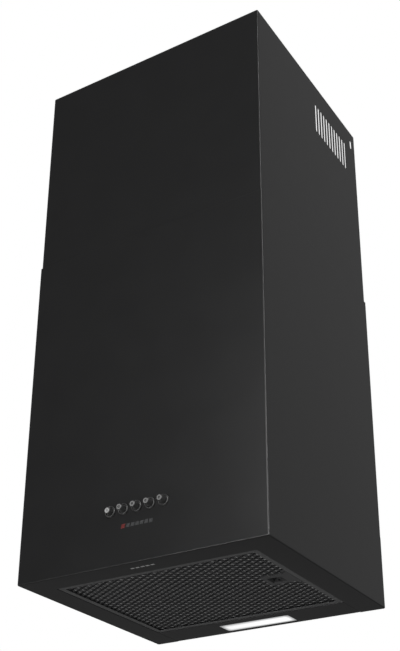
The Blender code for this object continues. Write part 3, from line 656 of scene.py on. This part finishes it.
class HoodLamp(bpy.types.PropertyGroup):
    brightness: FloatProperty(name="Brightness", description="Glow of the lamp's lens", default=1.0)
    end_zone: FloatProperty(name="End zone", description="Length of the dimmer end of the lens",
                            default=0.0085, unit="LENGTH")
    edge_zone: FloatProperty(name="Edge zone", description="Width of the dimmer front edge",
                             default=0.0135, unit="LENGTH")


class HoodButtons(bpy.types.PropertyGroup):
    ring_colour: FloatVectorProperty(name="Ring colour", description="Colour of the tips' rings",
                                     default=(0.17, 0.17, 0.17), subtype="COLOR", min=0, max=1)
    lit_colour: FloatVectorProperty(name="Lit ring colour",
                                    description="Ring colour of the button that is latched in",
                                    default=(0.30, 0.30, 0.30), subtype="COLOR", min=0, max=1)
    ring_inner: FloatProperty(name="Ring inside", description="Inner radius of the printed ring",
                              default=0.0019, unit="LENGTH")
    ring_outer: FloatProperty(name="Ring outside", description="Outer radius of the printed ring",
                              default=0.0037, unit="LENGTH")


class HoodStage(bpy.types.PropertyGroup):
    eye: FloatVectorProperty(name="Camera", description="Where the camera stands",
                             default=(0.8350, -1.5566, -0.8324), subtype="XYZ", unit="LENGTH")
    lens: FloatProperty(name="Lens", description="Focal length in millimetres", default=64.41)
    floor_height: FloatProperty(name="Floor", description="Height of the floor below the hood",
                                default=-3.3, unit="LENGTH")
    floor_glow: FloatProperty(name="Floor glow", description="Glow that keeps the floor pale",
                              default=0.70, min=0)
    room_front: FloatProperty(name="Room in front", description="Brightness in front of the hood",
                              default=0.050, min=0)
    room_back: FloatProperty(name="Room behind", description="Brightness behind the hood",
                             default=0.222, min=0)
    room_below: FloatProperty(name="Room below", description="Brightness below the hood",
                              default=0.075, min=0)
    key_light: FloatProperty(name="Key light", default=21.0,
                             description="Power of the near front softbox in watts")
    fill_light: FloatProperty(name="Fill light", default=5.0,
                              description="Power of the far front softbox in watts")
    side_light: FloatProperty(name="Side light", description="Power of the right softbox in watts",
                              default=28.0)
    low_light: FloatProperty(name="Low light", default=14.0,
                             description="Power of the low front softbox in watts")
    edge_light: FloatProperty(name="Edge light", default=27.0,
                              description="Power of the tall strip light off the right in watts")
    rear_light: FloatProperty(name="Rear light", description="Power of the softbox behind in watts",
                              default=40.0)
    top_light: FloatProperty(name="Top light", description="Power of the overhead softbox in watts",
                             default=7.0)


SETTINGS = {"hood_paint": HoodPaint, "hood_filter": HoodFilter, "hood_lamp": HoodLamp,
            "hood_buttons": HoodButtons, "hood_stage": HoodStage}


# ---------------------------------------------------------------------------------------------
# Operators


class HOOD_OT_sheet_metal(bpy.types.Operator):
    """Powder coats the casing, the sliding cover and the lamp panel"""

    bl_idname = "hood.sheet_metal"
    bl_label = "Painted sheet metal"

    def execute(self, context):
        paint = context.scene.hood_paint
        coat = powder_coat(paint)
        dress(("lower_casing", "upper_chimney", "lamp_panel"), coat, paint.edge)
        return {"FINISHED"}


class HOOD_OT_badge(bpy.types.Operator):
    """Adds the plain badge on the front and the plain mark under it"""

    bl_idname = "hood.badge"
    bl_label = "Badge and mark"

    def execute(self, context):
        front, middle = CASING_LOW.y - PRINT_GAP, CASING_LOW.z + 0.0546
        bm = bmesh.new()
        badge_block(bm, -0.0253, -0.0193, middle, 0.0030, front, 0.0003)
        red = printed("badge_red", (0.10, 0.012, 0.011), 0.4)
        round_edges(piece_from("badge_pip", bm, red, "casing"), 0.0001)
        bm = bmesh.new()
        for k in range(6):
            x = -0.0168 + k * 0.0073
            badge_block(bm, x, x + 0.0055, middle, 0.0026, front, 0.00025)
        grey = printed("badge_grey", (0.028, 0.029, 0.030), 0.5)
        piece_from("badge_lines", bm, grey, "casing")
        bm = bmesh.new()
        under, y = CASING_LOW.z - PRINT_GAP, CASING_LOW.y + 0.0190
        for x in (-0.0200, -0.0120, -0.0040, 0.0040, 0.0120):
            plate_below(bm, x, x + 0.0055, y - 0.0016, y + 0.0016, under, 0.00015)
        mark = printed("mark_grey", (0.20, 0.20, 0.20), 0.5)
        piece_from("underside_mark", bm, mark, "casing")
        return {"FINISHED"}


class HOOD_OT_filter(bpy.types.Operator):
    """Makes the filter's expanded mesh and finishes its frame"""

    bl_idname = "hood.filter"
    bl_label = "Grease filter"

    def execute(self, context):
        settings = context.scene.hood_filter
        dress(("filter_frame",), anodised_rim(settings), 0.0003)
        housing_low, housing_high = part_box("latch_housing")
        middle = (housing_low.y + housing_high.y) / 2
        notch = (housing_low.x - NOTCH_SPARE, middle - NOTCH_HALF, middle + NOTCH_HALF)
        pitch = settings.pitch
        layers = (  # name, rise, offset, painted light: how much brighter than the outer layer, against the shade inside, share of openness
            ("outer", settings.rise, (0.0, 0.0), 1.0, 1.0),
            ("middle", settings.rise * 0.6, (pitch * 0.43, pitch * 0.25), 7.5, 0.8),
            ("inner", settings.rise * 0.6, (pitch * 0.20, pitch * 0.45), 18.0, 0.4),
        )
        for layer, rise, offset, painted_light_lift, opening in layers:
            node = f"filter_mesh_{layer}"
            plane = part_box(node)[0].z + rise
            finish = anodised_strands(f"strands_{layer}", plane, rise, settings, painted_light_lift)
            expanded_sheet(f"filter_strands_{layer}", node, pitch, settings.openness * opening,
                           rise, offset, finish, notch)
        return {"FINISHED"}


class HOOD_OT_latch(bpy.types.Operator):
    """Finishes the filter's latch and adds its rivets and grip ribs"""

    bl_idname = "hood.latch"
    bl_label = "Filter latch"

    def execute(self, context):
        plastic = moulded("latch_plastic", (0.030, 0.030, 0.031), 0.42, 0.0006)
        dress(("latch_housing", "latch_slider"), plastic, 0.0003)
        low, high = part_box("latch_housing")
        middle = (low.y + high.y) / 2
        bm = bmesh.new()
        for side in (-1, 1):
            centre = Vector((high.x - 0.0031, middle + side * 0.0255, low.z))
            dome(bm, centre, 0.0017, 0.0007)
        rivet = moulded("rivet_black", (0.010, 0.010, 0.010), 0.3, 0.0005)
        piece_from("latch_rivets", bm, rivet, "filter", 60)
        slider_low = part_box("latch_slider")[0]
        bm = bmesh.new()
        for k in range(4):
            x = slider_low.x + 0.0009 + k * 0.0013
            plate_below(bm, x, x + 0.0007, middle - 0.0080, middle + 0.0080, slider_low.z, 0.0004)
        ribs = piece_from("latch_grip_ribs", bm, plastic, "latch")
        round_edges(ribs, 0.00015)
        return {"FINISHED"}


class HOOD_OT_lamp(bpy.types.Operator):
    """Lights the lamp's lens and finishes its housing, board and driver"""

    bl_idname = "hood.lamp"
    bl_label = "Lamp"

    def execute(self, context):
        lamp = context.scene.hood_lamp
        dress(("lamp_lens",), lit_lens(lamp), 0.0002)
        white = moulded("lamp_white", (0.62, 0.62, 0.60), 0.42)
        dress(("lamp_housing", "lamp_driver"), white, 0.0003)
        dress(("lamp_board",), circuit_board(), 0.0001)
        return {"FINISHED"}


class HOOD_OT_buttons(bpy.types.Operator):
    """Finishes the push buttons and their collars, and prints their tips"""

    bl_idname = "hood.buttons"
    bl_label = "Push buttons"

    def execute(self, context):
        settings = context.scene.hood_buttons
        cap = moulded("button_black", (0.030, 0.030, 0.030), 0.30, 0.0005, 0.00001)
        collar = moulded("collar_black", (0.045, 0.045, 0.045), 0.30, 0.0005, 0.00001)
        ring = printed("ring_ink", tuple(settings.ring_colour), 0.35)
        lit = printed("lit_ring_ink", tuple(settings.lit_colour), 0.35)
        dress([f"{name}_button" for name in BUTTONS], cap, 0.0002)
        dress([f"{name}_collar" for name in BUTTONS], collar, 0.0002)
        for name in BUTTONS:
            low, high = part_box(f"{name}_button")
            x, z = (low.x + high.x) / 2, (low.z + high.z) / 2
            ink = lit if name == "light" else ring
            bm = bmesh.new()
            inner = settings.ring_inner * (0.65 if name == "light" else 1.0)
            ring_on_tip(bm, (x, low.y + PRINT_SINK, z), inner, settings.ring_outer, 0.00012)
            button_sign(bm, name, (x, low.y + SIGN_SINK, z), 0.0011, 0.00015)
            piece_from(f"{name}_print", bm, ink, f"{name}_push")
        return {"FINISHED"}


class HOOD_OT_springs(bpy.types.Operator):
    """Winds the return springs of the buttons and the latch"""

    bl_idname = "hood.springs"
    bl_label = "Return springs"

    def execute(self, context):
        steel = ground_steel("spring_steel", (1.0, 1.0, 1.0))
        for name in BUTTONS:
            low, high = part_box(f"{name}_spring")
            x, z = (low.x + high.x) / 2, (low.z + high.z) / 2
            travel = LIGHT_TRAVEL if name == "light" else BUTTON_TRAVEL
            self.wind(f"{name}_spring", Vector((x, high.y, z)), Vector((x, low.y, z)),
                      (0.0019, 0.00035, 6), steel, "casing", f"{name}_press", travel)
        for name in ("latch_spring_front", "latch_spring_rear"):
            low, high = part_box(name)
            y, z = (low.y + high.y) / 2, (low.z + high.z) / 2
            self.wind(name, Vector((low.x, y, z)), Vector((high.x, y, z)),
                      (0.0014, 0.00025, 12), steel, "filter", "latch_slide", LATCH_TRAVEL)
        return {"FINISHED"}

    def wind(self, node, fixed, moving, wire, steel, body, joint, travel):
        """A coil from its fixed end to its moving end; joint and travel are not used. Its wire is
        given as the coil's radius, the wire's own radius and the number of turns."""
        bm = bmesh.new()
        coil(bm, fixed, moving, *wire)
        made = piece_from(f"{node}_coil", bm, steel, body, 60)
        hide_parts(node)
        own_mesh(made)


class HOOD_OT_blower(bpy.types.Operator):
    """Finishes the blower, its motor and wheel, the outlet collar and its flaps"""

    bl_idname = "hood.blower"
    bl_label = "Blower and outlet"

    def execute(self, context):
        grey = moulded("blower_grey", (0.20, 0.21, 0.22), 0.48)
        dress(("blower_wrap", "blower_side_left", "blower_side_right"), grey, 0.0003)
        black = moulded("wheel_black", (0.016, 0.016, 0.017), 0.42)
        dress(("impeller",), black, 0.0002)
        duct = moulded("duct_black", (0.022, 0.022, 0.022), 0.46)
        dress(("outlet_collar", "flap_front", "flap_rear"), duct, 0.0003)
        zinc = zinc_plate()
        dress(("motor_body", "motor_spider", "impeller_nut", "blower_cradle"), zinc, 0.0002)
        shaft = ground_steel("shaft_steel", (0.05, 1.0, 1.0))
        dress(("motor_shaft", "flap_pin"), shaft, 0.0002)
        return {"FINISHED"}


class HOOD_OT_back(bpy.types.Operator):
    """Finishes the back panel, its screws and the switch behind the buttons"""

    bl_idname = "hood.back"
    bl_label = "Back panel and switch"

    def execute(self, context):
        zinc = zinc_plate()
        dress(("back_panel", "switch_bracket"), zinc, 0.0002)
        screws = [f"back_screw_{side}_{level}" for side in ("left", "right")
                  for level in ("lower", "upper")]
        dress(screws, zinc, 0.0001)
        dress(("switch_body",), moulded("switch_black", (0.014, 0.014, 0.014), 0.40), 0.0002)
        return {"FINISHED"}


class HOOD_OT_electrics(bpy.types.Operator):
    """Finishes the terminal box, its gland and the motor's capacitor"""

    bl_idname = "hood.electrics"
    bl_label = "Electrics"

    def execute(self, context):
        grey = moulded("terminal_grey", (0.26, 0.27, 0.28), 0.50)
        dress(("terminal_box", "terminal_cover"), grey, 0.0003)
        dress(("cable_gland",), moulded("gland_black", (0.015, 0.015, 0.015), 0.40), 0.0002)
        dress(("motor_capacitor",), moulded("capacitor_white", (0.66, 0.66, 0.64), 0.38), 0.0002)
        return {"FINISHED"}


class HOOD_OT_stage(bpy.types.Operator):
    """Sets the camera, the lights, the surroundings and the floor"""

    bl_idname = "hood.stage"
    bl_label = "Stage"

    def execute(self, context):
        scene, settings = context.scene, context.scene.hood_stage
        scene.view_settings.view_transform = "Standard"
        camera_data = bpy.data.cameras.new("camera")
        camera_data.lens, camera_data.sensor_width = settings.lens, SENSOR_WIDTH
        camera_data.shift_x, camera_data.shift_y = CAMERA_SHIFT
        camera = bpy.data.objects.new("camera", camera_data)
        scene.collection.objects.link(camera)
        forward, right = CAMERA_FORWARD.normalized(), CAMERA_RIGHT.normalized()
        up = right.cross(forward)
        turn = Matrix((right, up, -forward)).transposed()
        camera.matrix_world = Matrix.Translation(settings.eye) @ turn.to_4x4()
        scene.camera = camera
        self.surroundings(scene, settings)
        self.floor(settings)
        softbox("key_softbox", (0.2, -2.2, 0.23), (0, -0.36, -0.1), (1.2, 1.2), settings.key_light)
        softbox("fill_softbox", (0.02, -3.2, 0.6), (0, -0.36, -0.1), (1.6, 1.6),
                settings.fill_light)
        softbox("right_softbox", (3.0, -0.3, -0.05), (0.2, -0.18, 0.05), (2.2, 2.2),
                settings.side_light)
        softbox("low_softbox", (-0.75, -2.3, -1.2), (0.1, -0.36, -0.33), (0.8, 0.4),
                settings.low_light)
        softbox("edge_softbox", (1.85, -1.6, 1.35), (0.2, -0.36, 0.05), (0.2, 1.8),
                settings.edge_light)
        softbox("rear_softbox", (-1.6, 3.0, 0.9), (0, 0, 0.1), (2.0, 2.0), settings.rear_light)
        softbox("top_softbox", (0, -0.2, 4.0), (0, -0.2, 0), (3.0, 3.0), settings.top_light)
        return {"FINISHED"}

    def surroundings(self, scene, settings):
        """White to the camera; to the hood, a room that is dim in front and brighter behind."""
        world = bpy.data.worlds.new("surroundings")
        world.use_nodes = True
        scene.world = world
        world.node_tree.nodes.clear()
        room = Surroundings(world.node_tree)
        behind = room.step(room.along("Y"), -0.5, 0.5)
        above = room.step(room.along("Z"), -0.25, 0.25)
        upper = (1 - behind) * settings.room_front + behind * settings.room_back
        brightness = above * upper + (1 - above) * settings.room_below
        shade = room.mix((0.0, 0.0, 0.0), (1.0, 1.0, 1.0), brightness)
        lit = room.node("ShaderNodeBackground", {}, {"Color": shade})
        seen = room.node("ShaderNodeBackground", {}, {"Color": (1.0, 1.0, 1.0)})
        to_camera = room.node("ShaderNodeLightPath", output="Is Camera Ray")
        chosen = room.node("ShaderNodeMixShader", {}, {0: to_camera, 1: lit, 2: seen})
        room.node("ShaderNodeOutputWorld", {}, {"Surface": chosen})

    def floor(self, settings):
        """A pale floor far below, which lights the underside."""
        bm = bmesh.new()
        bmesh.ops.create_grid(bm, x_segments=8, y_segments=8, size=FLOOR_REACH)
        bmesh.ops.translate(bm, verts=bm.verts, vec=(0, 0, settings.floor_height))
        mesh = bpy.data.meshes.new("floor")
        bm.to_mesh(mesh)
        bm.free()
        pale = Finish("pale_floor")
        tint = pale.mix((0.76, 0.76, 0.75), (0.82, 0.82, 0.81), pale.noise(0.4, 2.0))
        pale.set(colour=tint, roughness=0.8, glow=tint, glow_strength=settings.floor_glow)
        mesh.materials.append(pale.material)
        made = bpy.data.objects.new("floor", mesh)
        made.visible_glossy = False
        bpy.context.scene.collection.objects.link(made)


OPERATORS = (HOOD_OT_stage, HOOD_OT_sheet_metal, HOOD_OT_badge, HOOD_OT_filter, HOOD_OT_latch,
             HOOD_OT_lamp, HOOD_OT_buttons, HOOD_OT_springs, HOOD_OT_blower, HOOD_OT_back,
             HOOD_OT_electrics)


class HOOD_PT_panel(bpy.types.Panel):
    """Lists the hood's settings and the operators that make its pieces"""

    bl_label = "Box Chimney Hood"
    bl_space_type = "VIEW_3D"
    bl_region_type = "UI"
    bl_category = "Hood"

    def draw(self, context):
        for key, group in SETTINGS.items():
            box = self.layout.box()
            box.label(text=group.__name__)
            for name in group.__annotations__:
                box.prop(getattr(context.scene, key), name)
        for operator in OPERATORS:
            self.layout.operator(operator.bl_idname)


def register():
    for group in SETTINGS.values():
        bpy.utils.register_class(group)
    for cls in (*OPERATORS, HOOD_PT_panel):
        bpy.utils.register_class(cls)
    for key, group in SETTINGS.items():
        setattr(bpy.types.Scene, key, PointerProperty(type=group))


def unregister():
    for key in SETTINGS:
        delattr(bpy.types.Scene, key)
    for cls in (HOOD_PT_panel, *reversed(OPERATORS)):
        bpy.utils.unregister_class(cls)
    for group in SETTINGS.values():
        bpy.utils.unregister_class(group)


def main():
    register()
    for operator in OPERATORS:
        group, name = operator.bl_idname.split(".")
        getattr(getattr(bpy.ops, group), name)()


if __name__ == "__main__":
    main()
